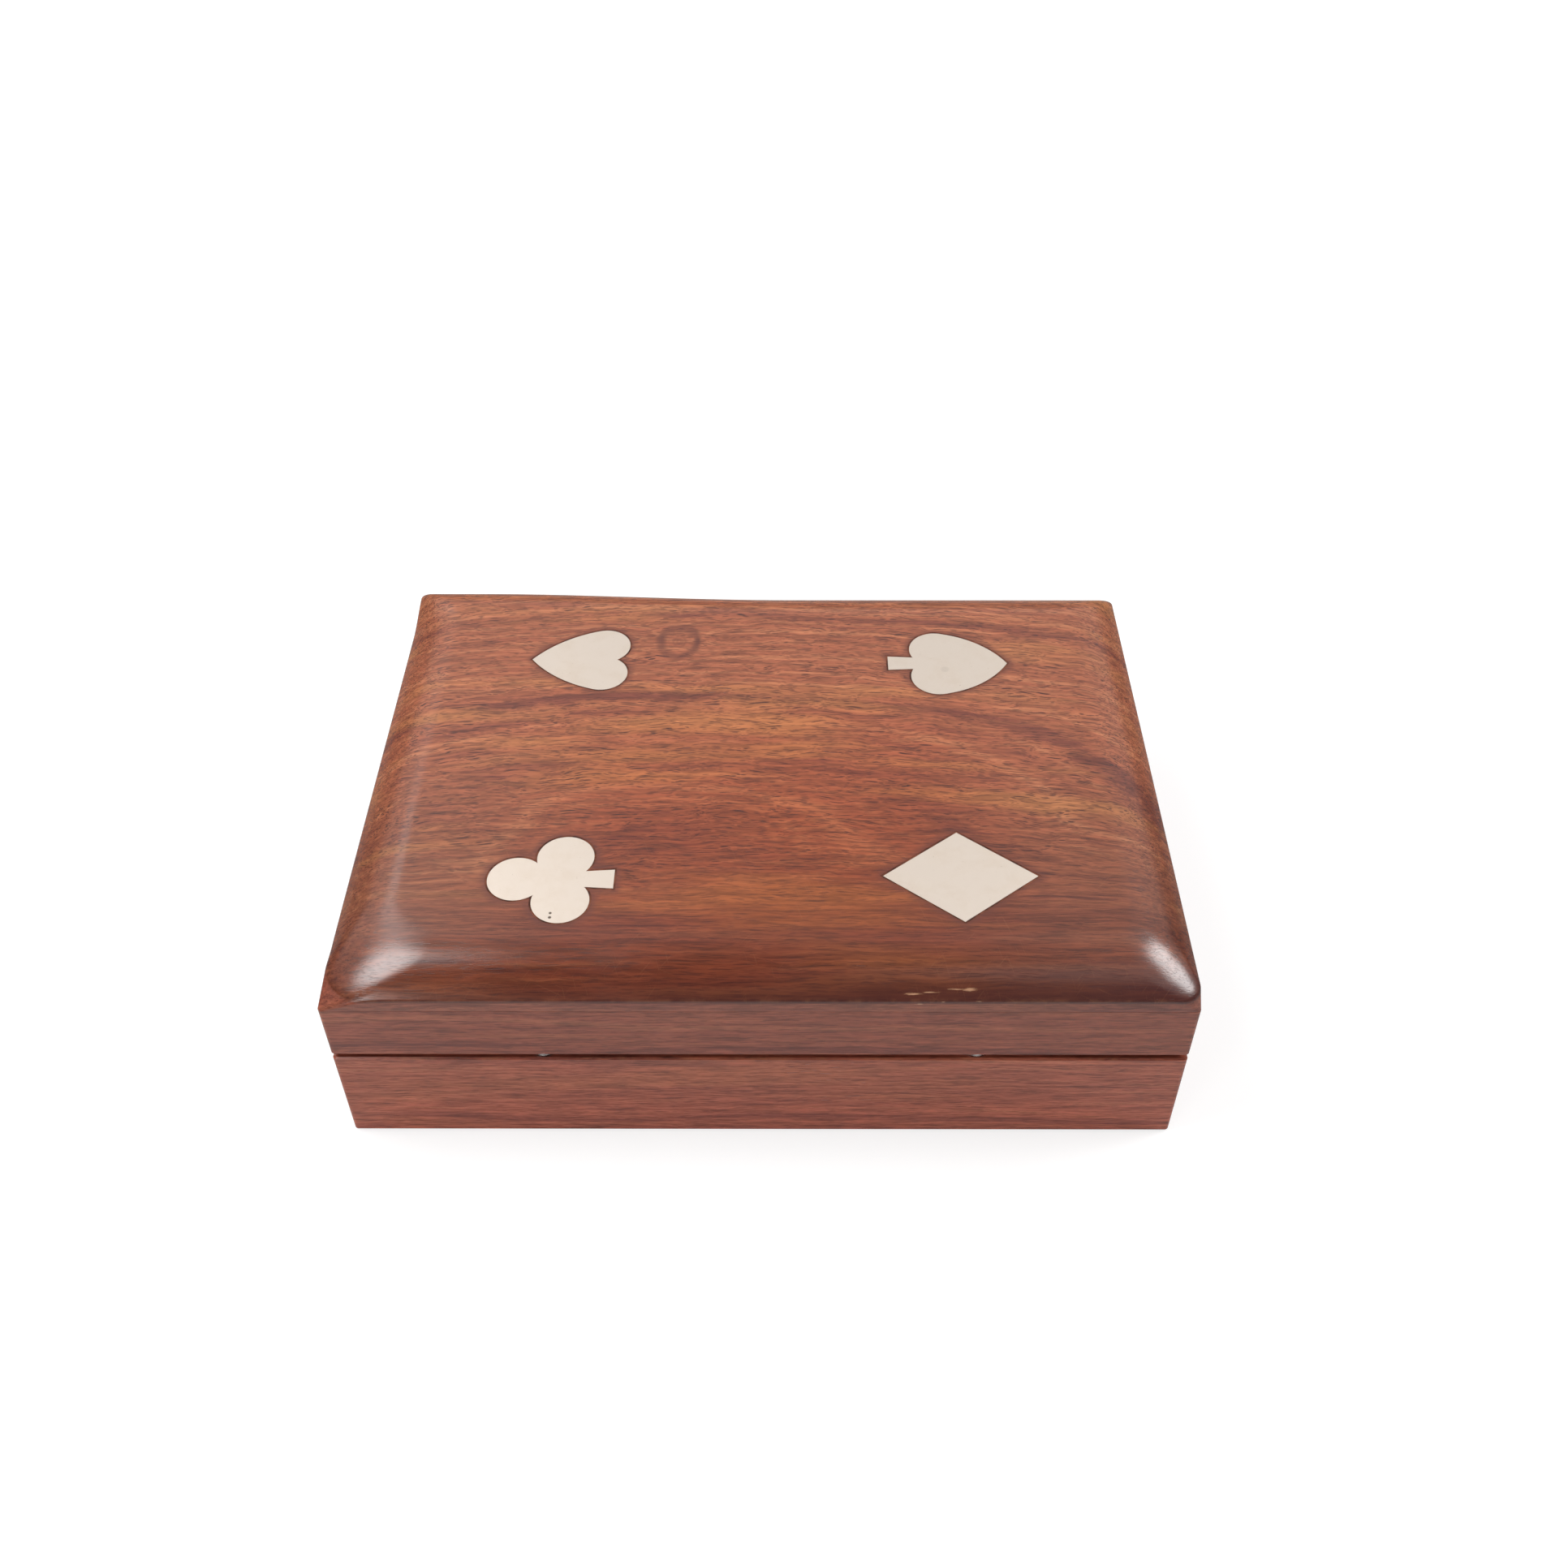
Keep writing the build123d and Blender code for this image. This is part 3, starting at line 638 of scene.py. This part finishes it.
def lidWood():
    s = lidFigure
    material, tree, shader = newMaterial("lidBoardWood", IOR=1.52)
    spot = spotOf(tree)
    at = split(tree, spot)
    place = spotOf(tree, shift=s["shift"])
    away = calcVector(tree, "MULTIPLY", calcVector(tree, "SUBTRACT", spot, s["knot"]), s["knotSize"])
    wobble = calc(tree, "SUBTRACT", cloud(tree, spot, s["knotCloud"]), 0.5)
    fromKnot = calc(tree, "ADD", calcVector(tree, "LENGTH", away), product(tree, wobble, s["knotWobble"]))
    lift = smooth(tree, fromKnot, s["knotReach"] * s["knotSpread"], 0.0, 0.0, s["knotLift"])
    rings = useGroup(tree, growthRings, {"Place": place, "Loop": s["loop"], "Bow": s["bow"], "Lift": lift})
    band = levels(tree, calc(tree, "DIVIDE", rings["Ring"], s["reach"]), s["rings"])
    grain = toned(tree, rings, tones["top"], band, pores=smooth(tree, at["Y"], *s["fewPores"]))
    # knot: a dark crescent round a paler heart
    outer, inner, core = (smooth(tree, fromKnot, *(s["knotReach"] + value for value in s[name]))
                          for name in ("rimOuter", "rimInner", "coreFade"))
    rim = product(tree, outer, inner, smooth(tree, cloud(tree, spot, s["rimCloud"]), *s["rimPatch"]))
    turns = smooth(tree, bands(tree, fromKnot, s["knotTurns"], 2.0, 0.5), *s["turnFrom"])
    dark = calc(tree, "MAXIMUM", rim, product(tree, core, turns, s["turnShare"]))
    tone = mixTone(tree, dark, grain["Tone"], s["knotTone"])
    # darker towards the front, painted shade on the sloping front of the crown, and a band of painted shade
    # just above the arris
    flow = split(tree, rings["Flow"])["Y"]
    slanted = calc(tree, "MULTIPLY_ADD", at["X"], s["shadeSlant"], flow)
    setBack = s["shift"][1]
    for measure, name in ((flow, "front"), (slanted, "crown")):
        ahead = smooth(tree, measure, *(value + setBack for value in s[name + "Shade"]))
        tone = mixTone(tree, ahead, tone, s[name + "Tone"], "MULTIPLY")
    shadeBand = smooth(tree, slanted, *(value + setBack for value in s["shadeBand"]))
    patch = smooth(tree, cloud(tree, rings["Flow"], s["shadeBandCloud"], 3.0), *s["shadeBandPatch"])
    tone = mixTone(tree, product(tree, shadeBand, patch, s["shadeBandShare"]), tone, s["shadeBandTone"])
    warm = [smooth(tree, at["Y"], *s[name]) for name in ("warmFront", "warmCrown")]
    warm = product(tree, smooth(tree, calc(tree, "ABSOLUTE", at["X"]), *s["warmEnds"]), *warm)
    tone = mixTone(tree, warm, tone, s["warmTone"], "MULTIPLY")
    edge = shaded("wall", boards["lid_front_wall"]["shade"] * s["edgeShade"])
    edge = toned(tree, rings, edge, pores=wallFigure["pores"], fineness=wallFigure["fineness"])["Tone"]
    tone = mixTone(tree, smooth(tree, at["Z"], *s["edgeLevels"]), edge, tone)
    # stain of the bedding round each suit
    distance = put(tree, "ShaderNodeAttribute", attribute_name="inlayDistance").outputs["Fac"]
    wobble = product(tree, cloud(tree, spot, s["haloCloud"], 3.0), s["haloWobble"])
    halo = smooth(tree, calc(tree, "ADD", distance, wobble), *s["haloReach"])
    halo = product(tree, calc(tree, "POWER", halo, s["haloPower"]), s["haloShare"])
    tone = mixTone(tree, halo, tone, s["halo"])
    # rubbed arris, bare wood in the chips, hair scratches in the lacquer
    feeds = {"Spot": spot, "Foot": lidBoard["arris"], "Head": lidBoard["arris"], "Breadth": s["rubBreadth"]}
    rub = useGroup(tree, rubbedEdges, feeds)["Rub"]
    tone = mixTone(tree, product(tree, rub, s["rubShare"]), tone, tones["rubbed"])
    bare = 0.0
    tear = product(tree, cloud(tree, spot, s["tear"], 3.0, 0.65), s["tearReach"])
    for x, z, halfLength, halfHeight, _ in chips:
        offset = calcVector(tree, "SUBTRACT", spot, (x, s["chipInset"] - lidBoard["halfDepth"], z))
        offset = calcVector(tree, "DIVIDE", offset, (halfLength, s["chipReach"], halfHeight))
        far = calc(tree, "ADD", calcVector(tree, "LENGTH", offset), tear)
        bare = calc(tree, "MAXIMUM", bare, smooth(tree, far, *s["chipSpan"]))
    tone = mixTone(tree, product(tree, bare, s["chipShare"]), tone, s["chipTone"])
    scratch = useGroup(tree, hairScratches, {"Spot": spot, "Count": s["scratches"]})["Scratch"]
    tone = mixTone(tree, scratch, tone, tones["rubbed"])
    lacquered(tree, shader, tone, grain, spot)
    return material


crownedBoard = buildLidBoard()
crownedBoard.data.materials.append(lidWood())
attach(crownedBoard, "lid")
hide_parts("lid_top_board")
print("card box: lid board crowned,", len(crownedBoard.data.polygons), "faces")


# brass suits and the dark bedding round them

suitBrass = dict(
    pale=(0.66, 0.573, 0.495), dull=(0.58, 0.475, 0.378), stain=(0.30, 0.22, 0.15),
    pitTone=(0.07, 0.045, 0.03), rough=0.36, roughSpread=0.12, scratchRough=-0.12,
    mottle=(0.22, 0.22, 0.22), mottleSpan=(0.40, 0.8, 0.0, 0.40),
    speck=(1.9, 1.9, 1.9), speckSpan=(0.70, 0.80, 0.0, 0.35),
    scratches=0.8, scratchShare=0.3, scratchDepth=-0.5, dentDepth=1.2, bump=0.3, bumpDepth=0.06,
    # x, y, radius, depth of tone
    pits=[(-36.2, -39.8, 0.34, 0.92), (-36.2, -40.8, 0.38, 0.92), (36.5, 25.8, 1.10, 0.10)],
    # line across the club: x, y, half length, half width
    scribed=(-36.5, -42.3, 4.6, 0.16), scribedShare=0.45,
)


def inlayBrass():
    s = suitBrass
    material, tree, shader = newMaterial("inlayBrass", Metallic=0.65)  # dulled, so part of the light scatters
    spot = spotOf(tree)
    mottle = cloud(tree, spot, s["mottle"], 4.0, 0.6)
    tone = mixTone(tree, smooth(tree, mottle, *s["mottleSpan"]), s["pale"], s["dull"])
    specks = smooth(tree, cloud(tree, spot, s["speck"], 2.0), *s["speckSpan"])
    tone = mixTone(tree, specks, tone, s["stain"])
    scratch = useGroup(tree, hairScratches, {"Spot": spot, "Count": s["scratches"]})["Scratch"]
    tone = mixTone(tree, product(tree, scratch, s["scratchShare"]), tone, s["dull"])
    pitted = 0.0
    for x, y, radius, share in s["pits"]:
        far = calcVector(tree, "DISTANCE", spot, (x, y, lidBoard["top"]))
        pitted = calc(tree, "MAXIMUM", pitted, smooth(tree, far, radius, radius * 0.5, 0.0, share))
    x, y, halfLength, halfWidth = s["scribed"]
    offset = calcVector(tree, "SUBTRACT", spot, (x, y, lidBoard["top"]))
    far = calcVector(tree, "LENGTH", calcVector(tree, "DIVIDE", offset, (halfLength, halfWidth, 1.0)))
    pitted = calc(tree, "MAXIMUM", pitted, smooth(tree, far, 1.0, 0.5, 0.0, s["scribedShare"]))
    feed(tree, shader["Base Color"], mixTone(tree, pitted, tone, s["pitTone"]))
    rough = calc(tree, "MULTIPLY_ADD", mottle, s["roughSpread"], s["rough"])
    feed(tree, shader["Roughness"], calc(tree, "MULTIPLY_ADD", scratch, s["scratchRough"], rough))
    height = calc(tree, "MULTIPLY_ADD", scratch, s["scratchDepth"], product(tree, pitted, -1.0))
    height = calc(tree, "ADD", height, product(tree, cloud(tree, spot, s["mottle"]), s["dentDepth"]))
    roughen(tree, shader, height, s["bump"], s["bumpDepth"])
    return material


bedding = dict(
    dark=(0.040, 0.014, 0.009), brown=(0.17, 0.056, 0.030), grit=(0.28, 0.28, 0.28), gritSpan=(0.35, 0.65),
    rough=0.7, roughSpread=0.3, bump=0.5, bumpDepth=0.04,
)


def beddingLac():
    s = bedding
    material, tree, shader = newMaterial("beddingLac", IOR=1.3)
    grit = cloud(tree, spotOf(tree), s["grit"], 5.0, 0.7)
    tone = mixTone(tree, smooth(tree, grit, *s["gritSpan"]), s["dark"], s["brown"])
    feed(tree, shader["Base Color"], tone)
    feed(tree, shader["Roughness"], calc(tree, "MULTIPLY_ADD", grit, s["roughSpread"], s["rough"]))
    roughen(tree, shader, grit, s["bump"], s["bumpDepth"])
    return material


brassForSuits = inlayBrass()
for name in ("heart_inlay", "spade_inlay", "club_inlay", "diamond_inlay"):
    dress(nodes[name], brassForSuits)
dress(nodes["inlay_bedding"], beddingLac())
print("card box: suits dressed")


# hinges, pins, screws and magnets

hinge = dict(bright=(0.80, 0.58, 0.27), dark=(0.46, 0.30, 0.13), rough=0.20, patch=0.22)
pin = dict(bright=(0.62, 0.61, 0.59), dark=(0.34, 0.33, 0.32), rough=0.22, patch=0.6)
magnet = dict(bright=(0.66, 0.65, 0.63), dark=(0.42, 0.41, 0.40), rough=0.12, patch=0.5)
wear = dict(
    patinaSpan=(0.42, 0.72), scratches=1.0, scratchShare=0.5, roughSpread=0.25, scratchDepth=-0.6,
    bump=0.2, bumpDepth=0.05,
)


def usedMetal(name, metal):  # plain metal with patina, hair scratches and handling marks
    s = wear
    material, tree, shader = newMaterial(name, Metallic=1.0)
    spot = spotOf(tree)
    patina = cloud(tree, spot, (metal["patch"],) * 3, 4.0, 0.65)
    tone = mixTone(tree, smooth(tree, patina, *s["patinaSpan"]), metal["bright"], metal["dark"])
    scratch = useGroup(tree, hairScratches, {"Spot": spot, "Count": s["scratches"]})["Scratch"]
    tone = mixTone(tree, product(tree, scratch, s["scratchShare"]), tone, metal["bright"])
    feed(tree, shader["Base Color"], tone)
    feed(tree, shader["Roughness"], calc(tree, "MULTIPLY_ADD", patina, s["roughSpread"], metal["rough"]))
    height = calc(tree, "MULTIPLY_ADD", scratch, s["scratchDepth"], patina)
    roughen(tree, shader, height, s["bump"], s["bumpDepth"])
    return material


hingeBrass = usedMetal("hingeBrass", hinge)
pinSteel = usedMetal("pinSteel", pin)
magnetNickel = usedMetal("magnetNickel", magnet)
for side in ("left", "right"):
    dress(nodes[side + "_hinge_base_leaf"], hingeBrass)
    dress(nodes[side + "_hinge_lid_leaf"], hingeBrass)
    dress(nodes[side + "_hinge_pin"], pinSteel)
for name in ("base_hinge_screws", "lid_hinge_screws"):
    dress(nodes[name], hingeBrass)
for name in ("base_magnets", "lid_magnets"):
    dress(nodes[name], magnetNickel)
print("card box: metal dressed")


# stained plywood under the box

plywood = dict(
    shift=(150.0, 10.0, -46.0), loop=0.22, strength=0.7, rough=0.5, vesselRough=0.2, bump=0.4, bumpDepth=0.08,
    light=(0.34, 0.17, 0.085), middle=(0.25, 0.11, 0.052), dark=(0.15, 0.06, 0.03),
    golden=(0.33, 0.165, 0.08),
)


def plywoodPanel():
    s = plywood
    material, tree, shader = newMaterial("stainedPlywood", IOR=1.45)
    rings = useGroup(tree, growthRings, {"Place": spotOf(tree, shift=s["shift"]), "Loop": s["loop"]})
    grain = toned(tree, rings, s, strength=s["strength"])
    feed(tree, shader["Base Color"], grain["Tone"])
    feed(tree, shader["Roughness"], calc(tree, "MULTIPLY_ADD", grain["Vessel"], s["vesselRough"], s["rough"]))
    roughen(tree, shader, grain["Grain"], s["bump"], s["bumpDepth"])
    return material


dress(nodes["bottom_panel"], plywoodPanel())


# velvet pads in the two bays and under the lid board

pads = dict(
    leftBayPad=dict(node="left_floor_lining", body="base", up=1),
    rightBayPad=dict(node="right_floor_lining", body="base", up=1),
    lidPad=dict(node="lid_lining", body="lid", up=-1),
)
padForm = dict(
    pitch=1.6, edge=1.1, rimHeight=0.12, sides=0.45, crown=0.35, pucker=0.10, puckerLength=7.0, fill=0.75,
    sharpAngle=60,
)
velvet = dict(
    deep=(0.105, 0.004, 0.010), lit=(0.205, 0.012, 0.022), litSpan=(0.3, 0.75),
    nap=(0.035, 0.035, 0.035), pile=(3.2, 3.2, 3.2), pileShare=0.5, napLess=0.25,
    rough=0.75, roughSpread=0.2, napRelief=2.0, bump=0.6, bumpDepth=0.25,
    sheen={
        "Sheen Weight": 0.55, "Sheen Roughness": 0.35, "Sheen Tint": (0.85, 0.30, 0.34, 1.0),
        "Specular IOR Level": 0.15,
    },
)


def buildPad(name, pad):
    s = padForm
    low, high = (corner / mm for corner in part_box(pad["node"]))
    wide, deep, thick = high - low
    rows = round(deep / s["pitch"])
    columns = round(wide / s["pitch"])
    rest = low.z if pad["up"] > 0 else high.z
    soup = bmesh.new()
    upper, lower = [], []
    for j in range(rows + 1):
        upper.append([])
        lower.append([])
        for i in range(columns + 1):
            u, v = i / columns, j / rows
            x = low.x + wide * u + s["sides"] * (0.5 - u) * 2 * math.sin(math.pi * v) ** 2
            y = low.y + deep * v + s["sides"] * (0.5 - v) * 2 * math.sin(math.pi * u) ** 2
            rim = min(u * wide, (1 - u) * wide, v * deep, (1 - v) * deep)
            roll = math.sqrt(max(1 - (1 - min(rim / s["edge"], 1.0)) ** 2, 0.0))
            swell = math.sin(math.pi * u) ** 0.5 * math.sin(math.pi * v) ** 0.5
            pucker = s["pucker"] * noise.noise(Vector((x, y, rest)) / s["puckerLength"])
            height = s["rimHeight"] + (thick - s["rimHeight"] - s["crown"]) * roll
            height += (s["crown"] + pucker) * swell
            upper[-1].append(soup.verts.new(Vector((x, y, rest + pad["up"] * min(height, thick))) * mm))
            lower[-1].append(soup.verts.new(Vector((x, y, rest)) * mm))
    for sheet in (upper, lower):
        for a, b in zip(sheet, sheet[1:]):
            for i in range(columns):
                soup.faces.new((a[i], a[i + 1], b[i + 1], b[i]))
    border = [(0, i) for i in range(columns)] + [(j, columns) for j in range(rows)]
    border += [(rows, i) for i in range(columns, 0, -1)] + [(j, 0) for j in range(rows, 0, -1)]
    for (j, i), (n, m) in zip(border, border[1:] + border[:1]):
        soup.faces.new((upper[j][i], lower[j][i], lower[n][m], upper[n][m]))
    bmesh.ops.recalc_face_normals(soup, faces=soup.faces)
    mesh = bpy.data.meshes.new(name)
    soup.to_mesh(mesh)
    soup.free()
    mesh.shade_smooth()
    mesh.set_sharp_from_angle(angle=math.radians(s["sharpAngle"]))
    piece = bpy.data.objects.new(name, mesh)
    scene.collection.objects.link(piece)
    return piece


def maroonVelvet():
    s = velvet
    material, tree, shader = newMaterial("maroonVelvet", **s["sheen"])
    spot = spotOf(tree)
    nap = cloud(tree, spot, s["nap"], 4.0, 0.6)
    pile = cloud(tree, spot, s["pile"], 2.0, 0.7)
    lit = calc(tree, "MULTIPLY_ADD", pile, s["pileShare"], calc(tree, "SUBTRACT", nap, s["napLess"]))
    feed(tree, shader["Base Color"], mixTone(tree, smooth(tree, lit, *s["litSpan"]), s["deep"], s["lit"]))
    feed(tree, shader["Roughness"], calc(tree, "MULTIPLY_ADD", pile, s["roughSpread"], s["rough"]))
    height = calc(tree, "MULTIPLY_ADD", nap, s["napRelief"], pile)
    roughen(tree, shader, height, s["bump"], s["bumpDepth"])
    return material


velvetCloth = maroonVelvet()
for name, pad in pads.items():
    piece = buildPad(name, pad)
    piece.data.materials.append(velvetCloth)
    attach(piece, pad["body"])
    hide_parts(pad["node"])
print("card box: velvet pads laid")


# white floor, studio light and the photograph's viewpoint

studio = dict(
    floorHalf=(3.0, 3.0), floorOpening=(0.0746, 0.0546),
    floorLevel=-0.05 * mm,  # just clear of the box, so the two faces do not meet
    floorTone=(0.86, 0.86, 0.86), floorSeen=(0.36, 0.36, 0.36),
    floorAhead=(0.50, 0.50, 0.50), floorBehind=(0.22, 0.22, 0.22), floorFront=(0.0, -0.10),
    floorGlow=0.70, floorMirrored=0.24, floorFade=(0.14, 0.40),
    horizon=0.16, side=0.22, sideFrom=(0.02, 0.34),
    below=0.9, belowFrom=(-0.02, -0.20),  # lights the underside through the opening
    back=0.78, backFoot=(0.24, 0.33), backSlant=0.07, backFrom=(0.20, 0.48),
    gap=0.45, gapBreadth=(0.10, 0.02), gapFoot=(0.62, 0.72),  # a darker strip in the middle of the back light
    front=0.15, frontFoot=(0.12, 0.42), frontFrom=(0.05, -0.45),
    hazes=dict(  # soft light over both ends of the box, seen in reflections only
        left=dict(toward=(-0.50, 0.30, 0.81), spread=(0.78, 0.98), level=0.50),
        right=dict(toward=(0.55, 0.15, 0.82), spread=(0.80, 0.98), level=0.78),
        rightFront=dict(toward=(0.25, -0.32, 0.91), spread=(0.970, 0.998), level=0.9),
    ),
    softboxes=dict(
        leftSoftbox=dict(at=(-0.385, -0.05, 0.635), size=(0.50, 0.50), power=8.9),
        frontFill=dict(at=(-0.44, -0.62, 0.48), size=(0.44, 0.44), power=3.6),
        rightSoftbox=dict(at=(0.525, 0.10, 0.55), size=(0.44, 0.44), power=7.9),
        leftBackSoftbox=dict(
            at=(-0.43, 0.38, 0.72), size=(0.36, 0.70), power=2.0, along=(-0.12, -0.88, 0.47),
        ),
    ),
    upright=(0.0, 0.0, 1.0), clothFade=(0.5, 0.2), aim=(0.0, -0.02, 0.03),
)


def makeFloor():
    s = studio
    mesh = bpy.data.meshes.new("paleFloor")
    # the box covers an opening in the floor, through which its underside is lit
    corners = [(-1, -1), (1, -1), (1, 1), (-1, 1)]
    points = [(x * wide, y * deep, s["floorLevel"])
              for wide, deep in (s["floorHalf"], s["floorOpening"]) for x, y in corners]
    mesh.from_pydata(points, [], [(k, (k + 1) % 4, (k + 1) % 4 + 4, k + 4) for k in range(4)])
    floor = bpy.data.objects.new("paleFloor", mesh)
    scene.collection.objects.link(floor)
    material = bpy.data.materials.new("paleFloor")
    material.use_nodes = True
    tree = material.node_tree
    tree.nodes.clear()
    path = put(tree, "ShaderNodeLightPath").outputs
    glossy = path["Is Glossy Ray"]
    plain = calc(tree, "MAXIMUM", path["Is Camera Ray"], path["Is Transmission Ray"])
    shown = calc(tree, "MAXIMUM", plain, glossy)
    about = put(tree, "ShaderNodeNewGeometry").outputs
    ahead = smooth(tree, split(tree, about["Position"])["Y"], *s["floorFront"])
    mirrored = mixTone(tree, ahead, s["floorBehind"], s["floorAhead"])
    tone = mixTone(tree, glossy, s["floorSeen"], mirrored)
    matt = put(tree, "ShaderNodeBsdfDiffuse", {"Color": mixTone(tree, shown, s["floorTone"], tone)})
    faint = product(tree, glossy, ahead, s["floorMirrored"])
    white = smooth(tree, calcVector(tree, "LENGTH", about["Position"]), *s["floorFade"], s["floorGlow"], 1.0)
    glow = put(tree, "ShaderNodeEmission", {"Strength": calc(tree, "MULTIPLY_ADD", plain, white, faint)})
    both = put(tree, "ShaderNodeAddShader", {0: matt.outputs[0], 1: glow.outputs[0]})
    clear = put(tree, "ShaderNodeBsdfTransparent").outputs[0]
    oneSided = put(tree, "ShaderNodeMixShader", {0: about["Backfacing"], 1: both.outputs[0], 2: clear})
    put(tree, "ShaderNodeOutputMaterial", {"Surface": oneSided.outputs[0]})
    mesh.materials.append(material)


def makeWorld():
    s = studio
    world = bpy.data.worlds.new("studioWorld")
    scene.world = world
    world.use_nodes = True
    tree = world.node_tree
    tree.nodes.clear()
    ray = put(tree, "ShaderNodeTexCoord").outputs["Generated"]
    at = split(tree, ray)
    low = smooth(tree, at["Z"], *s["sideFrom"], s["horizon"], s["side"])
    low = calc(tree, "ADD", low, smooth(tree, at["Z"], *s["belowFrom"], 0.0, s["below"]))
    foot = calc(tree, "MULTIPLY_ADD", at["X"], s["backSlant"], at["Z"])
    backLit = product(tree, smooth(tree, foot, *s["backFoot"]), smooth(tree, at["Y"], *s["backFrom"]))
    middle = smooth(tree, calc(tree, "ABSOLUTE", at["X"]), *s["gapBreadth"])
    gap = product(tree, middle, smooth(tree, at["Z"], *s["gapFoot"]))
    backLit = product(tree, backLit, calc(tree, "MULTIPLY_ADD", gap, -s["gap"], 1.0))
    dimmed = product(tree, smooth(tree, at["Z"], *s["frontFoot"]), smooth(tree, at["Y"], *s["frontFrom"]))
    glow = calc(tree, "MULTIPLY_ADD", backLit, s["back"] - s["side"], low)
    path = put(tree, "ShaderNodeLightPath").outputs
    for haze in s["hazes"].values():
        toward = calcVector(tree, "DOT_PRODUCT", ray, Vector(haze["toward"]).normalized())
        soft = smooth(tree, toward, *haze["spread"], 0.0, haze["level"])
        glow = calc(tree, "MULTIPLY_ADD", soft, path["Is Glossy Ray"], glow)
    glow = calc(tree, "MULTIPLY_ADD", dimmed, s["front"] - s["side"], glow)
    strength = calc(tree, "MAXIMUM", path["Is Camera Ray"], glow)
    sky = put(tree, "ShaderNodeBackground", {"Color": (1.0, 1.0, 1.0, 1.0), "Strength": strength})
    put(tree, "ShaderNodeOutputWorld", {"Surface": sky.outputs[0]})


def makeSoftboxes():
    for name, box in studio["softboxes"].items():
        data = bpy.data.lights.new(name, "AREA")
        data.shape = "RECTANGLE"
        data.size, data.size_y = box["size"]
        data.energy = box["power"]
        lamp = bpy.data.objects.new(name, data)
        lamp.location = box["at"]
        away = (lamp.location - Vector(studio["aim"])).normalized()
        along = Vector(box.get("along", studio["upright"]))
        along = (along - along.dot(away) * away).normalized()
        lamp.rotation_euler = Matrix((along.cross(away), along, away)).transposed().to_euler()
        scene.collection.objects.link(lamp)
        data.use_nodes = True  # the cloth of the box fades towards its rim
        tree = data.node_tree
        glow = next(node for node in tree.nodes if node.type == "EMISSION")
        place = put(tree, "ShaderNodeNewGeometry").outputs["Parametric"]
        place = calcVector(tree, "SUBTRACT", place, (0.5, 0.5, 0.0))
        flat = calcVector(tree, "MULTIPLY", place, (1.0, 1.0, 0.0))
        fade = smooth(tree, calcVector(tree, "LENGTH", flat), *studio["clothFade"])
        feed(tree, glow.inputs["Strength"], fade)


viewpoint = dict(
    at=(5.042, -225.724, 253.224), focal=1995.5, picture=1932, sensor=36.0,  # mm and pixels
    elevation=43.946, roll=-0.122, yaw=0.242,  # degrees
)


def makeCamera():
    s = viewpoint
    data = bpy.data.cameras.new("photoCamera")
    data.sensor_width = s["sensor"]
    data.lens = s["focal"] / s["picture"] * s["sensor"]
    data.clip_start = 0.01
    camera = bpy.data.objects.new("photoCamera", data)
    turn = Matrix.Rotation(math.radians(s["yaw"]), 4, "Z")
    tilt = Matrix.Rotation(math.radians(90 - s["elevation"]), 4, "X")
    roll = Matrix.Rotation(math.radians(s["roll"]), 4, "Z")
    camera.matrix_world = Matrix.Translation(Vector(s["at"]) * mm) @ turn @ tilt @ roll
    scene.collection.objects.link(camera)
    scene.camera = camera


makeFloor()
makeWorld()
makeSoftboxes()
makeCamera()
scene.view_settings.view_transform = "Standard"
print("card box: floor, light and camera set")
